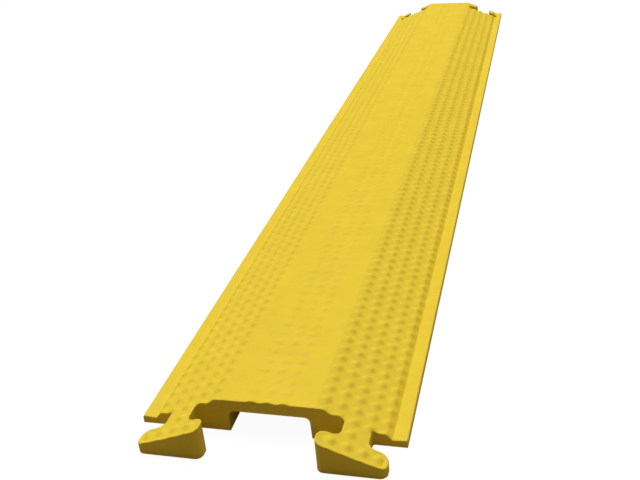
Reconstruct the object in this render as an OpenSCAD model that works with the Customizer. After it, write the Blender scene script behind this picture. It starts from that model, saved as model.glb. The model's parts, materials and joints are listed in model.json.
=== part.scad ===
// Drop-over cable protector ramp: a low, one-channel ramp moulded in one piece of flexible
// polyurethane, with two T-shaped connector lugs at one end and two matching sockets at the other.
// X runs across the ramp, +Y from the lug end towards the socket end, +Z up.
// The origin is at ground level, in the middle of the overall length and width.

/* [Body] */
// Length between the two mating end faces, 36 in
body_len = 914.4; // [304.8:0.1:1219.2]
// Overall width across the two edge strips, 5.75 in
body_w = 146; // [145:0.1:160]
// Height of the flat deck above the ground
deck_h = 20.3; // [19.8:0.1:23]
// Width of the flat deck, between the creases where the ramps begin
deck_w = 51.8; // [50:0.1:52.2]

/* [Ramps] */
// Width across the toes of the two ramps, where the steps down to the strips begin
toe_w = 124.4; // [124:0.1:126]
// Height of a ramp at its toe
toe_h = 6.1; // [5.6:0.1:6.6]
// Width across the feet of the two steps, where the strips begin
strip_inner_w = 130.4; // [129.6:0.1:131]
// Thickness of the edge strips at the foot of the step
strip_inner_t = 3.9; // [3.4:0.1:4.3]
// Thickness of the edge strips at their outer edge
strip_t = 4.5; // [4.4:0.1:5]
// Rounding of the strips' outer top edges
strip_edge_r = 0.8; // [0.4:0.1:1.5]

/* [Cable channel] */
// Width of the channel at the ground, 1.75 in plus the draft of its walls
channel_w = 45; // [40:0.1:47]
// Height of the channel, 0.5 in plus clearance
channel_h = 13.1; // [11:0.1:14]
// Lean of the channel's walls, in degrees
channel_draft = 2; // [0.5:0.5:4]
// Rounding of the channel's top corners
channel_corner_r = 3; // [1.5:0.5:4]

/* [Tread] */
// Distance between stud rows along the ramp: 100 rows to a yard
stud_pitch_y = 9.144; // [8:0.001:12]
// Distance between stud columns across a ramp
stud_pitch_x = 8; // [7.8:0.1:8.2]
// Columns of studs on each ramp
ramp_columns = 5; // [3:1:5]
// Centre of the innermost stud column, from the middle of the deck
first_column_x = 29.2; // [29.1:0.1:29.6]
// Centre of the first stud row, from the lug-end face
first_row_y = 0.8; // [0.6:0.1:2]
// Radius of a ramp stud at its root
stud_r = 2.9; // [2:0.1:3.2]
// Height of a ramp stud
stud_h = 1.4; // [0.8:0.1:1.8]
// Distance between the three columns of low studs on the deck
deck_column_pitch = 8.8; // [7:0.1:11]
// Radius of a deck stud at its root
deck_stud_r = 3; // [2:0.1:3.4]
// Height of a deck stud
deck_stud_h = 0.9; // [0.2:0.1:1.2]

/* [Connectors] */
// Distance between the centre lines of the two lugs
lug_spacing = 96; // [95:0.1:97]
// Width of a lug's neck
neck_w = 14; // [11:0.1:14.4]
// Length of a neck, from the end face to the back of the head
neck_len = 12.7; // [12:0.1:14]
// Width of a lug's head
head_w = 36; // [33:0.1:36.4]
// Depth of a lug's head along the ramp
head_len = 11.5; // [10.5:0.1:12]
// Offset of a head's centre outwards from the centre line of its neck
head_shift = 0.3; // [0:0.1:0.6]
// Rounding of a head's two corners nearest the body
head_back_r = 5.4; // [3.5:0.1:5.8]
// Rounding of a head's two corners farthest from the body
head_front_r = 4; // [3:0.1:4.5]
// Fillet between a neck and its head
neck_fillet_r = 5; // [2:0.1:5.2]
// Width of the raised rim around a head
rim_w = 1; // [0.6:0.1:1.4]
// Height of the raised rim above the ramp's plane
rim_h = 0.5; // [0.3:0.1:1.2]
// Clearance all round between a lug and its socket
fit_gap = 1; // [0.4:0.1:1.4]
// Length of the moulding that holds a socket, in stud rows
socket_rows = 3; // [3:1:4]

/* [Hidden] */
LEFT = -1;
RIGHT = 1;
DECK_YELLOW = [0.91, 0.79, 0.25];
RAMP_YELLOW = [0.88, 0.75, 0.20];
STRIP_YELLOW = [0.93, 0.81, 0.27];
$fn = 48;

lug_len = neck_len + head_len;
// Y of the face that carries the lugs; everything below is measured from it.
lug_face_y = (lug_len - body_len) / 2;

deck_x = deck_w / 2;
toe_x = toe_w / 2;
strip_x = strip_inner_w / 2;
outer_x = body_w / 2;
ramp_slope = (deck_h - toe_h) / (toe_x - deck_x);
ramp_angle = atan(ramp_slope);
function ramp_z(x) = deck_h - ramp_slope * (x - deck_x);

// The fillet in a top corner of the channel: its centre and where it leaves the leaning wall.
corner_x = channel_w / 2 - (channel_h - channel_corner_r) * tan(channel_draft)
    - channel_corner_r / cos(channel_draft);
corner_h = channel_h - channel_corner_r;
corner_end = [
    corner_x + channel_corner_r * cos(channel_draft),
    corner_h + channel_corner_r * sin(channel_draft)
];
wall_top_x = channel_w / 2 - corner_h * tan(channel_draft);

last_row = floor((body_len - first_row_y) / stud_pitch_y);
function row_y(row) = first_row_y + row * stud_pitch_y;
function column_x(column) = first_column_x + column * stud_pitch_x;
// The socket mouldings begin in the valley between two stud rows.
socket_start_y = row_y(last_row - socket_rows + 0.5);

neck_x = lug_spacing / 2;
head_x = neck_x + head_shift;
// How far a stud goes below the surface, so that it still has a root where the surface falls away.
stud_root = 0.9;
overshoot = 1;

// ---- Placing ----

module from_lug_face() {
    translate([0, lug_face_y, 0]) children();
}

// The sub-parts are drawn on the right and mirrored for the left.
module on_side(side) {
    mirror([side == LEFT ? 1 : 0, 0, 0]) children();
}

// Extrudes a cross-section drawn in X and Z between two places along the ramp.
module along(y_from, y_to) {
    translate([0, y_to, 0])
        rotate([90, 0, 0])
            linear_extrude(height = y_to - y_from) children();
}

// ---- Cross-sections, right half ----

module channel_section() {
    polygon([
        [-channel_w / 2, 0], [channel_w / 2, 0],
        corner_end, [corner_x, channel_h],
        [-corner_x, channel_h], [-corner_end[0], corner_end[1]]
    ]);
    for (side = [LEFT, RIGHT])
        translate([side * corner_x, corner_h]) circle(channel_corner_r);
}

module deck_section() {
    difference() {
        translate([-deck_x, corner_h]) square([deck_w, deck_h - corner_h]);
        channel_section();
    }
}

module wall_section() {
    polygon([[channel_w / 2, 0], [deck_x, 0], [deck_x, corner_h], [wall_top_x, corner_h]]);
}

module ramp_section() {
    polygon([
        [deck_x, 0], [strip_x, 0], [strip_x, strip_inner_t],
        [toe_x, toe_h], [deck_x, deck_h]
    ]);
}

module strip_section() {
    polygon([
        [strip_x, 0], [outer_x, 0], [outer_x, strip_t - strip_edge_r],
        [outer_x - strip_edge_r, strip_t], [strip_x, strip_inner_t]
    ]);
    translate([outer_x - strip_edge_r, strip_t - strip_edge_r]) circle(strip_edge_r);
}

// What lies under a lug's top, which carries the ramp's plane on to the lug's outer end.
module lug_section(rise) {
    polygon([
        [deck_x, 0], [outer_x, 0],
        [outer_x, ramp_z(outer_x) + rise], [deck_x, deck_h + rise]
    ]);
}

// ---- Connector outlines in plan, right side, y = 0 at the lug-end face ----

// A block with its own radius on the two corners at the back and the two at the front.
module rounded_block(x0, x1, y_front, y_back, r_front, r_back) {
    polygon([
        [x0 + r_front, y_front], [x1 - r_front, y_front],
        [x1, y_front + r_front], [x1, y_back - r_back],
        [x1 - r_back, y_back], [x0 + r_back, y_back],
        [x0, y_back - r_back], [x0, y_front + r_front]
    ]);
    for (x = [x0 + r_front, x1 - r_front])
        translate([x, y_front + r_front]) circle(r_front);
    for (x = [x0 + r_back, x1 - r_back])
        translate([x, y_back - r_back]) circle(r_back);
}

module head_outline(grow) {
    rounded_block(
        head_x - head_w / 2 - grow, head_x + head_w / 2 + grow,
        -lug_len - grow, -neck_len + grow,
        head_front_r + grow, head_back_r + grow
    );
}

module neck_outline(grow) {
    translate([neck_x - neck_w / 2 - grow, -neck_len - overshoot])
        square([neck_w + 2 * grow, neck_len + overshoot]);
}

// The concave fillets where the neck meets the head.
module neck_fillets(grow) {
    r = neck_fillet_r - grow;
    for (s = [LEFT, RIGHT])
        translate([neck_x + s * (neck_w / 2 + grow), -neck_len + grow])
            mirror([s == LEFT ? 1 : 0, 0])
                difference() {
                    translate([-overshoot, -overshoot]) square(r + overshoot);
                    translate([r, r]) circle(r);
                }
}

module lug_outline() {
    head_outline(0);
    neck_outline(0);
    neck_fillets(0);
}

module rim_outline() {
    difference() {
        head_outline(0);
        head_outline(-rim_w);
        translate([neck_x - neck_w / 2 - neck_fillet_r, -neck_len - 2 * rim_w])
            square([neck_w + 2 * neck_fillet_r, neck_len]);
    }
}

// ---- Studs ----

// A dome standing on a plane at the origin, cut off at a depth below the plane.
module dome(r, h, root) {
    ball_r = (r * r + h * h) / (2 * h);
    rotate_extrude()
        intersection() {
            translate([0, h - ball_r]) circle(ball_r, $fn = 240);
            translate([0, -root]) square([2 * r, h + root + overshoot]);
        }
}

// A low stud standing on a plane at the origin: a flat top inside two cones.
module low_stud(r, h) {
    rotate_extrude()
        polygon([[0, 0], [r, 0], [0.75 * r, 0.6 * h], [0.4 * r, h], [0, h]]);
}

module ramp_dome(x, y, root) {
    translate([x, y, ramp_z(x)]) rotate([0, ramp_angle, 0]) dome(stud_r, stud_h, root);
}

// Keeps what lies between the two end faces, where a row of radius r crosses one of them.
module within_end_faces(y, r) {
    if (y < r || y > body_len - r)
        intersection() {
            children();
            translate([-body_w, 0, 0]) cube([2 * body_w, body_len, 2 * deck_h]);
        }
    else
        children();
}

// A stud of the column at the toe, which reaches down over the step.
module toe_stud(x, y) {
    difference() {
        ramp_dome(x, y, stud_root);
        along(y - 2 * stud_r, y + 2 * stud_r) ramp_section();
    }
}

module ramp_stud(column, y) {
    x = column_x(column);
    within_end_faces(y, stud_r)
        if (x + stud_r > toe_x)
            toe_stud(x, y);
        else
            ramp_dome(x, y, 0);
}

module lug_stud(x, y) {
    difference() {
        ramp_dome(x, y, 0);
        lug_rim();
    }
}

module deck_stud(x, y) {
    within_end_faces(y, deck_stud_r)
        translate([x, y, deck_h]) low_stud(deck_stud_r, deck_stud_h);
}

module socket_space() {
    translate([0, body_len, 0])
        linear_extrude(height = 3 * deck_h, center = true) {
            head_outline(fit_gap);
            neck_outline(fit_gap);
            neck_fillets(fit_gap);
            translate([neck_x - neck_w / 2 - fit_gap, -overshoot])
                square([neck_w + 2 * fit_gap, 2 * overshoot]);
        }
}

module lug_base() {
    intersection() {
        linear_extrude(height = deck_h) lug_outline();
        along(-lug_len - overshoot, 0) lug_section(0);
    }
}

module lug_rim() {
    intersection() {
        linear_extrude(height = deck_h) rim_outline();
        along(-lug_len - overshoot, 0) lug_section(rim_h);
    }
}

// ---- Sub-parts ----

// The plate over the cables, with the channel's rounded top corners.
module deck() {
    color(DECK_YELLOW) from_lug_face() along(0, body_len) deck_section();
}

// The solid wall between the cables and a ramp.
module channel_wall(side) {
    color(RAMP_YELLOW) from_lug_face() on_side(side) along(0, body_len) wall_section();
}

// A ramp from the deck to the edge strip, up to the socket moulding.
module ramp(side) {
    color(RAMP_YELLOW) from_lug_face() on_side(side) along(0, socket_start_y) ramp_section();
}

module edge_strip(side) {
    color(STRIP_YELLOW) from_lug_face() on_side(side) along(0, socket_start_y) strip_section();
}

module connector_lug(side) {
    color(RAMP_YELLOW) from_lug_face() on_side(side) {
        lug_base();
        lug_rim();
    }
}

// The last stretch of ramp and strip, with the T-shaped socket cut right through it.
module connector_socket(side) {
    color(RAMP_YELLOW) from_lug_face() on_side(side)
        difference() {
            along(socket_start_y, body_len) {
                ramp_section();
                strip_section();
            }
            socket_space();
        }
}

module ramp_stud_rows(first, last) {
    for (row = [first : last])
        for (column = [0 : ramp_columns - 1]) ramp_stud(column, row_y(row));
}

// The studs of one ramp, its socket moulding and its lug.
module tread_studs(side) {
    color(STRIP_YELLOW) from_lug_face() on_side(side) {
        ramp_stud_rows(0, last_row - socket_rows);
        difference() {
            ramp_stud_rows(last_row - socket_rows + 1, last_row);
            socket_space();
        }
        for (column = [1 : ramp_columns - 1]) lug_stud(column_x(column), row_y(-2));
        lug_stud(column_x(2), row_y(-1));
    }
}

module deck_tread_studs() {
    color(DECK_YELLOW) from_lug_face()
        for (row = [0 : last_row])
            for (column = [-1 : 1]) deck_stud(column * deck_column_pitch, row_y(row));
}

deck();
channel_wall(LEFT);  // left_channel_wall
channel_wall(RIGHT);  // right_channel_wall
ramp(LEFT);  // left_ramp
ramp(RIGHT);  // right_ramp
edge_strip(LEFT);  // left_edge_strip
edge_strip(RIGHT);  // right_edge_strip
connector_lug(LEFT);  // left_connector_lug
connector_lug(RIGHT);  // right_connector_lug
connector_socket(LEFT);  // left_connector_socket
connector_socket(RIGHT);  // right_connector_socket
tread_studs(LEFT);  // left_tread_studs
tread_studs(RIGHT);  // right_tread_studs
deck_tread_studs();
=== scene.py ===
"""Looks of a drop-over cable protector ramp: one yellow polyurethane moulding, drawn region by region.

Shapes are worked out in millimetres: X crosses the ramp, Y runs from the lug-end face to the socket end,
and Z is up. new_piece() puts them in the part's frame, in metres. The right half is drawn, and the left half
mirrors it. All tops are taken from one height field, so neighbouring pieces meet exactly.
"""

import json
from math import atan, cos, hypot, pi, radians, sin, tan

import bpy
import numpy as np
from mathutils import Matrix, Vector
from mathutils.geometry import delaunay_2d_cdt

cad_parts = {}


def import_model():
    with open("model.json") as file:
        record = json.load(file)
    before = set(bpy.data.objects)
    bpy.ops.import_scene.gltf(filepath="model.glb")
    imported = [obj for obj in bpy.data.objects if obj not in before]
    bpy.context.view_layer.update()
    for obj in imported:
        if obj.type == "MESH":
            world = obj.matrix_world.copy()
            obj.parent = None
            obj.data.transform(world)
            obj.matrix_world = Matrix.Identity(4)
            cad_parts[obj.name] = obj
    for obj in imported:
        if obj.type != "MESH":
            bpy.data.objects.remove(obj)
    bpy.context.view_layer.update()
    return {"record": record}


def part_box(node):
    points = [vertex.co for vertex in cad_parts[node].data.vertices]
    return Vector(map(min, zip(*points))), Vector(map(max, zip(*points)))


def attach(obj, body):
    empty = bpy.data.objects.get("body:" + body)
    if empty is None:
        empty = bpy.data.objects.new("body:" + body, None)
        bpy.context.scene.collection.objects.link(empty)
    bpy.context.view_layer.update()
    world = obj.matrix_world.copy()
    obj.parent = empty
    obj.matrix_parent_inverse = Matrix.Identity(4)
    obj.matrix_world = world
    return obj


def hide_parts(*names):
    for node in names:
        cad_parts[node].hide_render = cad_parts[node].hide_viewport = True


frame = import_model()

MM = 0.001


def box_mm(node):
    low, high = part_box(node)
    return [v / MM for v in low], [v / MM for v in high]


# ---- Sizes ----

deck_high = box_mm("deck")[1]
wall_high = box_mm("right_channel_wall")[1]
ramp_low, ramp_high = box_mm("right_ramp")
strip_low, strip_high = box_mm("right_edge_strip")
lug_low, lug_high = box_mm("right_connector_lug")
socket_high = box_mm("right_connector_socket")[1]

LUG_FACE = ramp_low[1]
BODY_LEN = socket_high[1] - LUG_FACE
SOCKET_START = ramp_high[1] - LUG_FACE

SEAM_X, DECK_H = deck_high[0], deck_high[2]
# The crease between deck and ramp is rounded over this far to both sides of the seam.
CREASE_RUN = 1.2
TOE_X, TOE_H = 62.2, 6.1
STRIP_X, OUTER_X = strip_low[0], strip_high[0]
STRIP_INNER_T, STRIP_OUTER_T = 3.9, 4.5
STRIP_EDGE_R = 0.8
STEP_FILLET_R = 0.8
RAMP_SLOPE = (DECK_H - TOE_H) / (TOE_X - SEAM_X)

CHANNEL_X = 22.5
CHANNEL_H = 13.1
CHANNEL_DRAFT = radians(2)
CHANNEL_CORNER_R = 3.0
CORNER_H = wall_high[2]

PITCH_X, PITCH_Y = 8.0, 9.144
FIRST_COLUMN_X, FIRST_ROW_Y = 29.9, 0.8
COLUMNS = 5
LAST_ROW = int((BODY_LEN - FIRST_ROW_Y) // PITCH_Y)
# A stud leans down the ramp: its top is nearer to its outer side. Radii are in plan.
STUD_INNER_R, STUD_OUTER_R, STUD_R, STUD_H = 3.95, 3.35, 3.9, 1.2
# From a stud's top to the middle of its foot, across the ramp.
LEAN = (STUD_OUTER_R - STUD_INNER_R) / 2
DECK_COLUMNS, DECK_PITCH_X = 3, 8.8
DECK_STUD_R, DECK_STUD_H = 3.9, 0.9
# The columns that have a stud, for each row on a lug. Rows on a lug are negative.
LUG_STUDS = {-1: (2,), -2: (1, 2, 3, 4), -3: (1, 2, 3, 4)}

NECK_X, NECK_W = 48.0, 14.0
LUG_LEN = LUG_FACE - lug_low[1]
HEAD_LEN, HEAD_W = 11.5, lug_high[0] - lug_low[0]
NECK_LEN = LUG_LEN - HEAD_LEN
HEAD_X = (lug_low[0] + lug_high[0]) / 2
HEAD_BACK_R, HEAD_FRONT_R = 5.4, 4.0
NECK_FILLET_R = 5.0
ROOT_FILLET_R = 1.2
# The rim round a lug head is level for its width and then falls away over its foot. It is higher
# towards the outer ends of the heads.
RIM_W, RIM_FOOT = 0.9, 1.6
RIM_INNER_H, RIM_OUTER_H = 0.35, 0.9
RIM_RISE_START_X, RIM_RISE_END_X = 48.0, 64.0
FIT_GAP = 1.0
SLOT_CORNER_R = 1.0

EDGE_R = 0.5
# The end blocks meet the ramps in the valley after the first row of studs, and before the sockets.
FIRST_VALLEY = FIRST_ROW_Y + PITCH_Y / 2
RAMP_ROWS = round((SOCKET_START - FIRST_VALLEY) / PITCH_Y)

# ---- The height field ----


def smooth_step(t):
    t = np.clip(t, 0, 1)
    return t * t * (3 - 2 * t)


def arc(centre, r, start, end, steps):
    """Points on a circle between two angles in radians, ends included."""
    angles = np.linspace(start, end, steps + 1)
    return np.column_stack([centre[0] + r * np.cos(angles), centre[1] + r * np.sin(angles)])


def crease_height(x):
    """Height of the deck and the ramp's plane, with the crease between them rounded by a parabola."""
    past = np.clip(x - (SEAM_X - CREASE_RUN), 0, 2 * CREASE_RUN)
    rounded = DECK_H - RAMP_SLOPE * past * past / (4 * CREASE_RUN)
    return np.where(x < SEAM_X + CREASE_RUN, rounded, DECK_H - RAMP_SLOPE * (x - SEAM_X))


def top_profile(steps):
    """The top's cross-section between studs, from the seam to the outer side, as x and z columns."""
    crease_x = np.linspace(SEAM_X, SEAM_X + CREASE_RUN, steps + 1)
    step_angle = atan((TOE_H - STRIP_INNER_T) / (STRIP_X - TOE_X))
    dish_angle = atan((STRIP_OUTER_T - STRIP_INNER_T) / (OUTER_X - STRIP_X - STRIP_EDGE_R))
    # The fillet at the foot of the step touches the step and the strip, so its centre is on their bisector.
    reach = STEP_FILLET_R / cos((step_angle + dish_angle) / 2)
    lean = (step_angle - dish_angle) / 2
    foot = (STRIP_X + reach * sin(lean), STRIP_INNER_T + reach * cos(lean))
    edge = (OUTER_X - STRIP_EDGE_R, STRIP_OUTER_T - STRIP_EDGE_R)
    return np.vstack(
        [
            np.column_stack([crease_x, crease_height(crease_x)]),
            [TOE_X, TOE_H],
            arc(foot, STEP_FILLET_R, 3 * pi / 2 - step_angle, 3 * pi / 2 + dish_angle, steps),
            arc(edge, STRIP_EDGE_R, pi / 2, 0, steps),
        ]
    )


FINE_PROFILE = top_profile(64)


def stud_centre(x, y):
    """The centre in plan of the stud whose tile a point is in, and whether that tile has a stud."""
    column = np.clip(np.round((x - FIRST_COLUMN_X) / PITCH_X), 0, COLUMNS - 1)
    row = np.clip(np.round((y - FIRST_ROW_Y) / PITCH_Y), min(LUG_STUDS), LAST_ROW)
    present = row >= 0
    for lug_row, columns in LUG_STUDS.items():
        present = present | ((row == lug_row) & np.isin(column, columns))
    return FIRST_COLUMN_X + column * PITCH_X, FIRST_ROW_Y + row * PITCH_Y, present


def bump(away, r, h):
    """Height of a soft dome at a distance from its middle."""
    return h * (1 + np.cos(pi * np.clip(away / r, 0, 1))) / 2


def stud_height(x, y):
    """Height of the ramp studs above the surface between them."""
    cx, cy, present = stud_centre(x, y)
    across = (x - cx) / np.where(x < cx, STUD_INNER_R, STUD_OUTER_R)
    away = np.hypot(across, (y - cy) / STUD_R)
    return np.where(present, bump(away, 1, STUD_H), 0)


def top_height(x, y):
    """Height of the top of a ramp, an edge strip or a lug over a point."""
    profile = np.interp(x, FINE_PROFILE[:, 0], FINE_PROFILE[:, 1])
    return np.where(y < 0, crease_height(x), profile) + stud_height(x, y)


def deck_height(x, y):
    side_columns = DECK_COLUMNS // 2
    column = np.clip(np.round(x / DECK_PITCH_X), -side_columns, side_columns)
    row = np.clip(np.round((y - FIRST_ROW_Y) / PITCH_Y), 0, LAST_ROW)
    away = np.hypot(x - column * DECK_PITCH_X, y - FIRST_ROW_Y - row * PITCH_Y)
    return crease_height(np.abs(x)) + bump(away, DECK_STUD_R, DECK_STUD_H)


def rim_height(x, y, depth, share):
    """Height of the rim above a lug's top, at a distance in from the outline."""
    rise = smooth_step((x - RIM_RISE_START_X) / (RIM_RISE_END_X - RIM_RISE_START_X))
    full = RIM_INNER_H + (RIM_OUTER_H - RIM_INNER_H) * rise
    fall = 1 - smooth_step((depth - RIM_W) / RIM_FOOT)
    return np.where(y < 0, full * share * fall, 0)


def edge_drop(depth):
    """How far a rounded top edge has fallen away at a distance in from the side."""
    left = np.clip(EDGE_R - depth, 0, EDGE_R)
    return EDGE_R - np.sqrt(EDGE_R * EDGE_R - left * left)


def edge_depths(steps=4):
    """Distances in from a side at which a rounded top edge gets its points."""
    return EDGE_R * (1 - np.cos(np.linspace(0, pi / 2, steps + 1)))


# ---- Meshes ----

SHARP_ANGLE = radians(40)


def new_piece(name, points, faces, nodes, side=1):
    """A mesh piece on the root body that stands for some CAD nodes. side is -1 for the mirrored left half."""
    points = np.asarray(points, dtype=float).copy()
    points[:, 0] *= side
    points[:, 1] += LUG_FACE
    if side < 0:
        faces = [tuple(reversed(f)) for f in faces]
    mesh = bpy.data.meshes.new(name)
    mesh.from_pydata((points * MM).tolist(), [], faces)
    mesh.validate()
    mesh.polygons.foreach_set("use_smooth", [True] * len(mesh.polygons))
    mesh.set_sharp_from_angle(angle=SHARP_ANGLE)
    piece = bpy.data.objects.new(name, mesh)
    bpy.context.scene.collection.objects.link(piece)
    weighted = piece.modifiers.new("face_weighted_normals", "WEIGHTED_NORMAL")
    weighted.keep_sharp = True
    mesh.materials.append(POLYURETHANE)
    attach(piece, "root")
    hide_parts(*nodes)


def loft(rings):
    """Points and faces of a closed solid through closed rings of equal length, each ring at its own y."""
    count, size = len(rings), len(rings[0])
    points = np.vstack(rings)
    faces = []
    for a in range(count - 1):
        for i in range(size):
            j = (i + 1) % size
            faces.append((a * size + i, a * size + j, (a + 1) * size + j, (a + 1) * size + i))
    faces.append(tuple(reversed(range(size))))
    faces.append(tuple(range((count - 1) * size, count * size)))
    return points, faces


def grid_solid(x, y, z, under):
    """Points and faces of the solid under a grid of top points.

    under gives the points that close the section below one line of the grid, from right to left.
    """
    rings = []
    for j in range(x.shape[1]):
        top = np.column_stack([x[:, j], y[:, j], z[:, j]])
        rings.append(np.vstack([top, under(j)]))
    return loft(rings)


def square_rings(n):
    """For each point of an n by n grid over a stud: its ring, its angle, and its own place from -1 to 1.

    A ring is one of the grid's concentric squares, counted from the middle.
    """
    half = n // 2
    i, j = np.meshgrid(np.arange(-half, half + 1.0), np.arange(-half, half + 1.0), indexing="ij")
    ring = np.maximum(abs(i), abs(j)).astype(int)
    with np.errstate(divide="ignore", invalid="ignore"):
        by_i = np.where(i < 0, pi, 0) + pi / 4 * j / i
        by_j = np.sign(j) * pi / 2 - pi / 4 * i / j
    angle = np.nan_to_num(np.where(abs(i) >= abs(j), by_i, by_j))
    return ring, angle, i / half, j / half


def ring_studs(x, y, first, count, shares, pitch_x, radii, lean=0.0):
    """Draw the squares of a grid as circles, so that the mesh follows the round contours of the studs.

    first and count give the tiled part of the grid, across and along. A ring's share of the stud's radii
    (towards the middle, outwards and along the ramp) comes from shares. The outermost ring stays square.
    """
    tile = 2 * len(shares)
    ring, angle, across, along = square_rings(tile)
    inner_r, outer_r, along_r = radii
    share = np.append(shares, 0)[ring]
    radius_x = np.where(np.cos(angle) < 0, inner_r, outer_r)
    inside = ring < tile // 2
    move_x = np.where(inside, share * np.cos(angle) * radius_x - lean - across * pitch_x / 2, 0)
    move_y = np.where(inside, share * np.sin(angle) * along_r - along * PITCH_Y / 2, 0)
    tiles = np.s_[first[0] : first[0] + count[0] * tile, first[1] : first[1] + count[1] * tile]
    x[tiles] += np.tile(move_x[:-1, :-1], count)
    y[tiles] += np.tile(move_y[:-1, :-1], count)


# ---- The deck and the walls of the channel ----

DECK_SHARES = (0, 1 / 3, 2 / 3, 1)
DECK_TILE = 2 * len(DECK_SHARES)
# The first line of the grid outside the deck's columns of studs.
DECK_PLAIN_X = 16.0
WALL_RINGS = 41


def channel_curve(grown):
    """Half of the channel's section, from the middle of its ceiling to the deck's lower corner."""
    corner_x = CHANNEL_X - (CHANNEL_H - CHANNEL_CORNER_R) * tan(CHANNEL_DRAFT)
    corner_x -= CHANNEL_CORNER_R / cos(CHANNEL_DRAFT)
    centre = (corner_x, CHANNEL_H - CHANNEL_CORNER_R)
    corner = arc(centre, CHANNEL_CORNER_R + grown, pi / 2, CHANNEL_DRAFT, 10)
    wall_x = CHANNEL_X - CORNER_H * tan(CHANNEL_DRAFT)
    return np.vstack([corner, [wall_x + grown, CORNER_H]])


def deck():
    crease_x = SEAM_X - CREASE_RUN
    side_lines = [*np.linspace(DECK_PLAIN_X, crease_x, 5), *np.linspace(crease_x, SEAM_X, 6)[1:]]
    tiled_x = DECK_COLUMNS * DECK_PITCH_X / 2
    tile_lines = np.linspace(-tiled_x, tiled_x, DECK_COLUMNS * DECK_TILE + 1)
    rows = LAST_ROW - 1
    last_valley = FIRST_VALLEY + PITCH_Y * rows
    start, end = edge_depths(), BODY_LEN - edge_depths()[::-1]
    first = np.linspace(start[-1], FIRST_VALLEY, DECK_TILE + 1)[1:-1]
    tiled = np.linspace(FIRST_VALLEY, last_valley, rows * DECK_TILE + 1)
    last = np.linspace(last_valley, end[0], 14)[1:-1]
    lines = [*np.negative(side_lines[::-1]), *tile_lines, *side_lines]
    x, y = np.meshgrid(lines, np.concatenate([start, first, tiled, last, end]), indexing="ij")
    tiles_at = (len(side_lines), len(start) + len(first))
    radii = (DECK_STUD_R, DECK_STUD_R, DECK_STUD_R)
    ring_studs(x, y, tiles_at, (DECK_COLUMNS, rows), DECK_SHARES, DECK_PITCH_X, radii)
    inset = edge_drop(np.minimum(y[0], BODY_LEN - y[0]))
    z = deck_height(x, y) - inset

    def under(j):
        right = np.vstack([[[SEAM_X, CORNER_H]], channel_curve(inset[j])[::-1]])
        section = np.vstack([right, right[::-1] * [-1, 1]])
        return np.insert(section, 1, y[0, j], axis=1)

    points, faces = grid_solid(x, y, z, under)
    new_piece("deck_moulding", points, faces, ["deck", "deck_tread_studs"])


def channel_wall(side, name):
    rings = []
    plain = np.linspace(0, BODY_LEN, WALL_RINGS)[1:-1]
    for y in [*edge_depths(), *plain, *(BODY_LEN - edge_depths()[::-1])]:
        inset = edge_drop(min(y, BODY_LEN - y))
        rings.append(
            [
                [CHANNEL_X + inset, y, 0],
                [CHANNEL_X - CORNER_H * tan(CHANNEL_DRAFT) + inset, y, CORNER_H],
                [SEAM_X, y, CORNER_H],
                [SEAM_X, y, 0],
            ]
        )
    points, faces = loft(rings)
    new_piece(f"{name}_channel_wall_moulding", points, faces, [f"{name}_channel_wall"], side)


# ---- Ramps and edge strips between the two end blocks ----

RAMP_SHARES = (0, 0.2, 0.4, 0.6, 0.8, 1)
RAMP_TILE = 2 * len(RAMP_SHARES)
# The studs of the first and the last column reach the ramp's crease and step, so only the columns
# between them have tiles.
RINGED_COLUMNS = COLUMNS - 2
TILES_START_X = FIRST_COLUMN_X + LEAN + PITCH_X / 2
TILES_END_X = TILES_START_X + RINGED_COLUMNS * PITCH_X
RAMP_GAP, STRIP_GAP = 0.6, 1.4


def profile_lines(low, high):
    """X of the cross-section's own points between two places, both ends included."""
    x = top_profile(5)[:, 0]
    return np.concatenate([[low], x[(x > low + 0.01) & (x < high - 0.01)], [high]])


def fill_gaps(x, step):
    """x with points added so that no gap is much wider than step."""
    out = [x[:1]]
    for a, b in zip(x[:-1], x[1:]):
        out.append(np.linspace(a, b, max(1, round((b - a) / step)) + 1)[1:])
    return np.concatenate(out)


def ramp_lines():
    """X of the lines along a ramp, and how many of them come before its tiles."""
    shoulder = fill_gaps(profile_lines(SEAM_X, TILES_START_X), RAMP_GAP)
    tiles = np.linspace(TILES_START_X, TILES_END_X, RAMP_TILE * RINGED_COLUMNS + 1)
    toe = fill_gaps(profile_lines(TILES_END_X, STRIP_X), RAMP_GAP)
    return np.concatenate([shoulder, tiles[1:], toe[1:]]), len(shoulder) - 1


def strip_lines():
    return fill_gaps(profile_lines(STRIP_X, OUTER_X), STRIP_GAP)


def ramp(side, name):
    lines, first_tile = ramp_lines()
    rings_y = np.linspace(FIRST_VALLEY, SOCKET_START, RAMP_ROWS * RAMP_TILE + 1)
    x, y = np.meshgrid(lines, rings_y, indexing="ij")
    radii = (STUD_INNER_R, STUD_OUTER_R, STUD_R)
    ring_studs(x, y, (first_tile, 0), (RINGED_COLUMNS, RAMP_ROWS), RAMP_SHARES, PITCH_X, radii, LEAN)

    def under(j):
        return [[STRIP_X, y[0, j], 0], [SEAM_X, y[0, j], 0]]

    points, faces = grid_solid(x, y, top_height(x, y), under)
    new_piece(f"{name}_ramp_moulding", points, faces, [f"{name}_ramp", f"{name}_tread_studs"], side)


def edge_strip(side, name):
    rings_y = np.linspace(FIRST_VALLEY, SOCKET_START, RAMP_ROWS + 1)
    x, y = np.meshgrid(strip_lines(), rings_y, indexing="ij")

    def under(j):
        return [[OUTER_X, y[0, j], 0], [STRIP_X, y[0, j], 0]]

    points, faces = grid_solid(x, y, top_height(x, y), under)
    new_piece(f"{name}_edge_strip_moulding", points, faces, [f"{name}_edge_strip"], side)


# ---- Outlines of the end blocks, in plan ----

OUTLINE_GAP = 0.6


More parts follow.
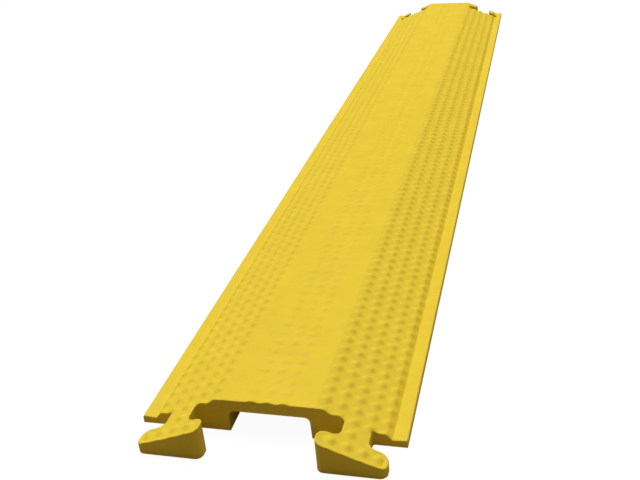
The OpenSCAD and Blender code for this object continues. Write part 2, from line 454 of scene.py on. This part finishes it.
class Outline:
    """An open line in plan with the solid on its left, as points and normals into the solid."""

    def __init__(self):
        self.points, self.normals, self.rims = [], [], []

    def add(self, points, normals, rim):
        """rim is the share of the raised rim's height along the points, or a pair for both ends."""
        shares = np.linspace(*np.broadcast_to(rim, 2), len(points))
        for point, normal, share in zip(points, normals, shares):
            if self.points and hypot(*(self.points[-1] - point)) < 1e-6:
                continue
            self.points.append(point)
            self.normals.append(normal)
            self.rims.append(share)

    def line(self, start, end, rim=0.0):
        start, end = np.array(start, float), np.array(end, float)
        length = hypot(*(end - start))
        count = max(1, round(length / OUTLINE_GAP))
        along = (end - start) / length
        points = [start + (end - start) * k / count for k in range(count + 1)]
        self.add(points, [np.array([-along[1], along[0]])] * len(points), rim)

    def curve(self, centre, r, start, end, rim=0.0):
        """An arc between two angles in degrees; it turns left, round the solid, where end is past start."""
        steps = max(4, round(abs(radians(end - start)) * r / OUTLINE_GAP))
        points = arc(centre, r, radians(start), radians(end), steps)
        inwards = (np.array(centre) - points) / r
        self.add(points, inwards if end > start else -inwards, rim)

    def arrays(self):
        return np.array(self.points), np.array(self.normals), np.array(self.rims)


def lug_end_outline():
    """The lug-end face and the lug, from the seam to the outer side."""
    line = Outline()
    neck_in, neck_out = NECK_X - NECK_W / 2, NECK_X + NECK_W / 2
    head_in, head_out = HEAD_X - HEAD_W / 2, HEAD_X + HEAD_W / 2
    f, root = NECK_FILLET_R, ROOT_FILLET_R
    back, front = -NECK_LEN, -LUG_LEN
    line.line((SEAM_X, 0), (neck_in - root, 0))
    line.curve((neck_in - root, -root), root, 90, 0)
    line.line((neck_in, -root), (neck_in, back + f))
    line.curve((neck_in - f, back + f), f, 0, -90, (0.0, 1.0))
    line.line((neck_in - f, back), (head_in + HEAD_BACK_R, back), 1.0)
    line.curve((head_in + HEAD_BACK_R, back - HEAD_BACK_R), HEAD_BACK_R, 90, 180, 1.0)
    line.line((head_in, back - HEAD_BACK_R), (head_in, front + HEAD_FRONT_R), 1.0)
    line.curve((head_in + HEAD_FRONT_R, front + HEAD_FRONT_R), HEAD_FRONT_R, 180, 270, 1.0)
    line.line((head_in + HEAD_FRONT_R, front), (head_out - HEAD_FRONT_R, front), 1.0)
    line.curve((head_out - HEAD_FRONT_R, front + HEAD_FRONT_R), HEAD_FRONT_R, -90, 0, 1.0)
    line.line((head_out, front + HEAD_FRONT_R), (head_out, back - HEAD_BACK_R), 1.0)
    line.curve((head_out - HEAD_BACK_R, back - HEAD_BACK_R), HEAD_BACK_R, 0, 90, 1.0)
    line.line((head_out - HEAD_BACK_R, back), (neck_out + f, back), 1.0)
    line.curve((neck_out + f, back + f), f, 270, 180, (1.0, 0.0))
    line.line((neck_out, back + f), (neck_out, -root))
    line.curve((neck_out + root, -root), root, 180, 90)
    line.line((neck_out + root, 0), (OUTER_X, 0))
    return line.arrays()


def socket_end_outline():
    """The socket-end face and the T-shaped cut, from the outer side to the seam."""
    line = Outline()
    gap, face = FIT_GAP, BODY_LEN
    neck_in, neck_out = NECK_X - NECK_W / 2 - gap, NECK_X + NECK_W / 2 + gap
    head_in, head_out = HEAD_X - HEAD_W / 2 - gap, HEAD_X + HEAD_W / 2 + gap
    f, tip = NECK_FILLET_R - gap, SLOT_CORNER_R
    back_r, front_r = HEAD_BACK_R + gap, HEAD_FRONT_R + gap
    back, front = face - NECK_LEN + gap, face - LUG_LEN - gap
    line.line((OUTER_X, face), (neck_out + tip, face))
    line.curve((neck_out + tip, face - tip), tip, 90, 180)
    line.line((neck_out, face - tip), (neck_out, back + f))
    line.curve((neck_out + f, back + f), f, 180, 270)
    line.line((neck_out + f, back), (head_out - back_r, back))
    line.curve((head_out - back_r, back - back_r), back_r, 90, 0)
    line.line((head_out, back - back_r), (head_out, front + front_r))
    line.curve((head_out - front_r, front + front_r), front_r, 0, -90)
    line.line((head_out - front_r, front), (head_in + front_r, front))
    line.curve((head_in + front_r, front + front_r), front_r, 270, 180)
    line.line((head_in, front + front_r), (head_in, back - back_r))
    line.curve((head_in + back_r, back - back_r), back_r, 180, 90)
    line.line((head_in + back_r, back), (neck_in - f, back))
    line.curve((neck_in - f, back + f), f, -90, 0)
    line.line((neck_in, back + f), (neck_in, face - tip))
    line.curve((neck_in - tip, face - tip), tip, 0, 90)
    line.line((neck_in - tip, face), (SEAM_X, face))
    return line.arrays()


def depth_from(outline, points):
    """Each point's distance from the outline, and the outline's rim share there."""
    ends, _, rims = outline
    a, b = ends[:-1], ends[1:]
    ab = b - a
    to_point = points[:, None] - a[None]
    along = np.clip((to_point * ab).sum(2) / (ab * ab).sum(1), 0, 1)
    gaps = np.linalg.norm(to_point - along[..., None] * ab, axis=2)
    nearest = gaps.argmin(1)
    share = np.take_along_axis(along, nearest[:, None], 1)[:, 0]
    return gaps.min(1), rims[nearest] * (1 - share) + rims[nearest + 1] * share


def inside_of(loop, points):
    """Which points lie inside a closed loop."""
    x, y = points[:, 0, None], points[:, 1, None]
    ax, ay = loop[:, 0], loop[:, 1]
    bx, by = np.roll(ax, -1), np.roll(ay, -1)
    crosses = (ay > y) != (by > y)
    with np.errstate(divide="ignore", invalid="ignore"):
        at = ax + (y - ay) * (bx - ax) / (by - ay)
    return (crosses & (x < at)).sum(1) % 2 == 1


# ---- End blocks ----

FIELD_GAP = 0.8
# Points of the field stay this far from the rings round studs and from creases.
FIELD_CLEARANCE = 0.35
# Points inside a block stay this far from the lines along its sides.
SIDE_CLEARANCE = 0.3
STUD_RING_POINTS = 28
STUD_RING_SHARES = (0.17, 0.34, 0.5, 0.67, 0.83, 1)
# Distances in from a lug's outline at which the mesh gets extra lines, for the slope of the rim.
RIM_LINES = (0.7, 1.1, 1.5)


def plan_points(x, y):
    """Points in plan. Either x or y may be a single number."""
    return np.column_stack(np.broadcast_arrays(x, y))


def profile_creases():
    """X of the lines along which the cross-section bends."""
    return profile_lines(SEAM_X, OUTER_X)[1:-1]


def block_points(low_y, high_y):
    """Points for the inside of an end block: rings round its studs, and a plain field between them."""
    x, y = np.arange(SEAM_X, OUTER_X, FIELD_GAP), np.arange(low_y, high_y, FIELD_GAP)
    field = np.array(np.meshgrid(x, y)).reshape(2, -1).T
    field = field[np.abs(field[:, :1] - profile_creases()).min(1) >= FIELD_CLEARANCE]
    turn = np.arange(STUD_RING_POINTS) * 2 * pi / STUD_RING_POINTS
    radius_x = np.where(np.cos(turn) < 0, STUD_INNER_R, STUD_OUTER_R)
    first_row = int(np.floor((low_y - FIRST_ROW_Y - STUD_R) / PITCH_Y))
    last_row = int(np.ceil((high_y - FIRST_ROW_Y + STUD_R) / PITCH_Y))
    rings = []
    for row in range(first_row, min(last_row, LAST_ROW) + 1):
        for column in range(COLUMNS) if row >= 0 else LUG_STUDS.get(row, ()):
            cx, cy = FIRST_COLUMN_X + column * PITCH_X, FIRST_ROW_Y + row * PITCH_Y
            rings.append([[cx, cy]])
            for share in STUD_RING_SHARES:
                ring_x = cx + share * np.cos(turn) * radius_x
                rings.append(plan_points(ring_x, cy + share * np.sin(turn) * STUD_R))
            away = np.hypot(field[:, 0] - cx - LEAN, field[:, 1] - cy)
            field = field[away > STUD_R + FIELD_CLEARANCE]
    return np.vstack([*rings, field])


def triangulate(loop, lines, points):
    """A plan mesh inside a closed loop, with some lines in it: points, triangles, and the loop's numbers."""
    vertices, edges = [], []
    for path in [loop, *lines]:
        first = len(vertices)
        vertices.extend(path)
        edges.extend((first + k, first + k + 1) for k in range(len(path) - 1))
    edges.append((len(loop) - 1, 0))
    vertices.extend(points)
    found = delaunay_2d_cdt([Vector(v) for v in vertices], edges, [], 1, 1e-4)
    plan, triangles, sources = found[0], found[2], found[3]
    place = {source: k for k, group in enumerate(sources) for source in group}
    return np.array([tuple(v) for v in plan]), triangles, [place[k] for k in range(len(loop))]


def end_block(side, piece_name, node, outline, face, valley, insets, side_points):
    """A block of ramp, strip and connector between its outline, at one end face, and a valley between studs.

    insets are the distances from the outline at which the mesh gets a line that follows it.
    """
    chain, normals, _ = outline
    plain = np.linspace(insets[-1], abs(valley - face), side_points)[1:]
    inwards = 1 if valley > face else -1
    side_y = face + inwards * np.concatenate([insets, plain])
    # The side at the valley meets the ramp and the strip, so it takes their lines.
    valley_x = np.concatenate([ramp_lines()[0], strip_lines()[1:]])
    from_x, to_x = chain[-1][0], chain[0][0]
    if from_x > to_x:
        valley_x = valley_x[::-1]
    closing = [
        plan_points(from_x, side_y)[1:],
        plan_points(valley_x, valley)[1:],
        plan_points(to_x, side_y[::-1])[1:-1],
    ]
    loop = np.vstack([chain, *closing])
    creases = [plan_points(x, side_y[len(insets) :]) for x in profile_creases()]
    points = np.vstack([block_points(loop[:, 1].min(), loop[:, 1].max()), *creases])
    depth, _ = depth_from(outline, points)
    keep = inside_of(loop, points) & (depth > insets[-1] + SIDE_CLEARANCE)
    keep &= points[:, 0] > SEAM_X + SIDE_CLEARANCE
    keep &= np.abs(points[:, 1] - valley) > SIDE_CLEARANCE
    follow = [chain + normals * inset for inset in insets[1:]]
    plan, triangles, rim = triangulate(loop, follow, points[keep])

    depth, rim_share = depth_from(outline, plan)
    x, y = plan.T
    z = top_height(x, y) + rim_height(x, y, depth, rim_share) - edge_drop(depth)
    top = np.column_stack([x, y, z])
    bottom = top[rim] * [1, 1, 0]
    count, size = len(top), len(rim)
    faces = [tuple(t) for t in triangles]
    for k in range(size):
        n = (k + 1) % size
        faces.append((count + k, count + n, rim[n], rim[k]))
    faces.append(tuple(reversed(range(count, count + size))))
    new_piece(piece_name, np.vstack([top, bottom]), faces, [node], side)


def lug_end(side, name):
    insets = np.append(edge_depths(), RIM_LINES)
    piece, node = f"{name}_lug_end_moulding", f"{name}_connector_lug"
    end_block(side, piece, node, lug_end_outline(), 0.0, FIRST_VALLEY, insets, side_points=8)


def socket_end(side, name):
    piece, node = f"{name}_socket_end_moulding", f"{name}_connector_socket"
    end_block(side, piece, node, socket_end_outline(), BODY_LEN, SOCKET_START, edge_depths(), side_points=40)


# ---- Looks ----


def polyurethane():
    """Safety-yellow polyurethane, coloured all through: satin, faintly mottled, with a fine moulded grain."""
    material = bpy.data.materials.new("yellow_polyurethane")
    material.use_nodes = True
    nodes, links = material.node_tree.nodes, material.node_tree.links
    shader = nodes["Principled BSDF"]
    place = nodes.new("ShaderNodeTexCoord")

    def noise(scale, detail, roughness=0.5):
        node = nodes.new("ShaderNodeTexNoise")
        node.inputs["Scale"].default_value = scale
        node.inputs["Detail"].default_value = detail
        node.inputs["Roughness"].default_value = roughness
        links.new(place.outputs["Object"], node.inputs["Vector"])
        return node.outputs["Fac"]

    def blend(source, low, low_colour, high, high_colour):
        """A colour that goes from one to the other while the source goes from low to high."""
        node = nodes.new("ShaderNodeValToRGB")
        first, last = node.color_ramp.elements
        first.position, first.color = low, (*low_colour, 1)
        last.position, last.color = high, (*high_colour, 1)
        links.new(source, node.inputs["Fac"])
        return node.outputs["Color"]

    colour = frame["record"]["materials"][0]["base_color"]
    pale = [min(1, c * 1.03) for c in colour]
    deep = [c * 0.97 for c in colour]
    links.new(blend(noise(60, 4, 0.6), 0.35, deep, 0.65, pale), shader.inputs["Base Color"])
    satin, duller = [0.42] * 3, [0.58] * 3
    links.new(blend(noise(140, 3), 0.3, satin, 0.7, duller), shader.inputs["Roughness"])
    grain = nodes.new("ShaderNodeBump")
    grain.inputs["Strength"].default_value = 0.25
    grain.inputs["Distance"].default_value = 0.00008
    links.new(noise(2200, 3), grain.inputs["Height"])
    links.new(grain.outputs["Normal"], shader.inputs["Normal"])
    shader.inputs["Specular IOR Level"].default_value = 0.12
    return material


POLYURETHANE = polyurethane()

deck()
for side, name in ((-1, "left"), (1, "right")):
    channel_wall(side, name)
    ramp(side, name)
    edge_strip(side, name)
    lug_end(side, name)
    socket_end(side, name)


# ---- Floor, light and camera, in metres ----

FLOOR_HALF, FLOOR_Z = 12.0, -0.0002
# Near the ramp the floor glows a little less than white, so that a trace of the contact shadow shows.
GLOW_NEAR, GLOW_FAR = 0.95, 1.0
NEAR_UP_TO, FAR_FROM = 1.2, 4.0


def seen_or_bounced(tree, seen, bounced):
    """A colour that the camera sees, and another that lights the object."""
    path = tree.nodes.new("ShaderNodeLightPath")
    mix = tree.nodes.new("ShaderNodeMix")
    mix.data_type = "RGBA"
    mix.inputs["A"].default_value = (*bounced, 1)
    mix.inputs["B"].default_value = (*seen, 1)
    tree.links.new(path.outputs["Is Camera Ray"], mix.inputs["Factor"])
    return mix.outputs["Result"]


def pale_floor():
    """A matt material that the camera sees nearly white, and that bounces a warm light on to the object."""
    material = bpy.data.materials.new("pale_floor")
    material.use_nodes = True
    tree = material.node_tree
    shader = tree.nodes["Principled BSDF"]
    colour = seen_or_bounced(tree, (0.07, 0.07, 0.07), (0.32, 0.265, 0.24))
    tree.links.new(colour, shader.inputs["Base Color"])
    shader.inputs["Roughness"].default_value = 0.9
    shader.inputs["Specular IOR Level"].default_value = 0.1
    place = tree.nodes.new("ShaderNodeNewGeometry")
    away = tree.nodes.new("ShaderNodeVectorMath")
    away.operation = "LENGTH"
    tree.links.new(place.outputs["Position"], away.inputs[0])
    fade = tree.nodes.new("ShaderNodeMapRange")
    fade.inputs["From Min"].default_value = NEAR_UP_TO
    fade.inputs["From Max"].default_value = FAR_FROM
    fade.inputs["To Min"].default_value = GLOW_NEAR
    fade.inputs["To Max"].default_value = GLOW_FAR
    tree.links.new(away.outputs["Value"], fade.inputs["Value"])
    tree.links.new(fade.outputs["Result"], shader.inputs["Emission Strength"])
    glow = seen_or_bounced(tree, (1, 1, 1), (0, 0, 0))
    tree.links.new(glow, shader.inputs["Emission Color"])
    return material


def floor():
    mesh = bpy.data.meshes.new("floor")
    corners = [(x * FLOOR_HALF, y * FLOOR_HALF, FLOOR_Z) for x, y in ((-1, -1), (1, -1), (1, 1), (-1, 1))]
    mesh.from_pydata(corners, [], [(0, 1, 2, 3)])
    mesh.materials.append(pale_floor())
    plane = bpy.data.objects.new("floor", mesh)
    bpy.context.scene.collection.objects.link(plane)


def overhead_light():
    """A wide softbox hung high over the ramp, to the left and behind, pointing straight down."""
    light = bpy.data.lights.new("overhead", "AREA")
    light.shape = "RECTANGLE"
    light.size, light.size_y = 10.0, 5.0
    light.energy = 590
    lamp = bpy.data.objects.new("overhead", light)
    lamp.location = (-1.7, 2.2, 6.0)
    bpy.context.scene.collection.objects.link(lamp)


def world():
    """A white backdrop that adds a dim, slightly warm light from all round."""
    backdrop = bpy.data.worlds.new("studio")
    backdrop.use_nodes = True
    background = backdrop.node_tree.nodes["Background"]
    colour = seen_or_bounced(backdrop.node_tree, (1, 1, 1), (0.185, 0.160, 0.15))
    backdrop.node_tree.links.new(colour, background.inputs["Color"])
    bpy.context.scene.world = backdrop


def camera():
    """The photograph's view: from the lug end, above the right ramp, with the camera tilted a little."""
    lens = bpy.data.cameras.new("camera")
    lens.sensor_width = 36
    lens.lens = 47.97
    lens.clip_start, lens.clip_end = 0.01, 100
    heading, dip, tilt = radians(15.94), radians(27.35), radians(-5.19)
    across, before, above = 131.3, 331.8, 296.5
    turn = Matrix.Rotation(heading, 4, "Z") @ Matrix.Rotation(pi / 2 - dip, 4, "X")
    turn = turn @ Matrix.Rotation(tilt, 4, "Z")
    view = bpy.data.objects.new("camera", lens)
    view.matrix_world = Matrix.Translation(Vector((across, LUG_FACE - before, above)) * MM) @ turn
    bpy.context.scene.collection.objects.link(view)
    bpy.context.scene.camera = view


floor()
world()
overhead_light()
camera()
bpy.context.scene.view_settings.view_transform = "Standard"
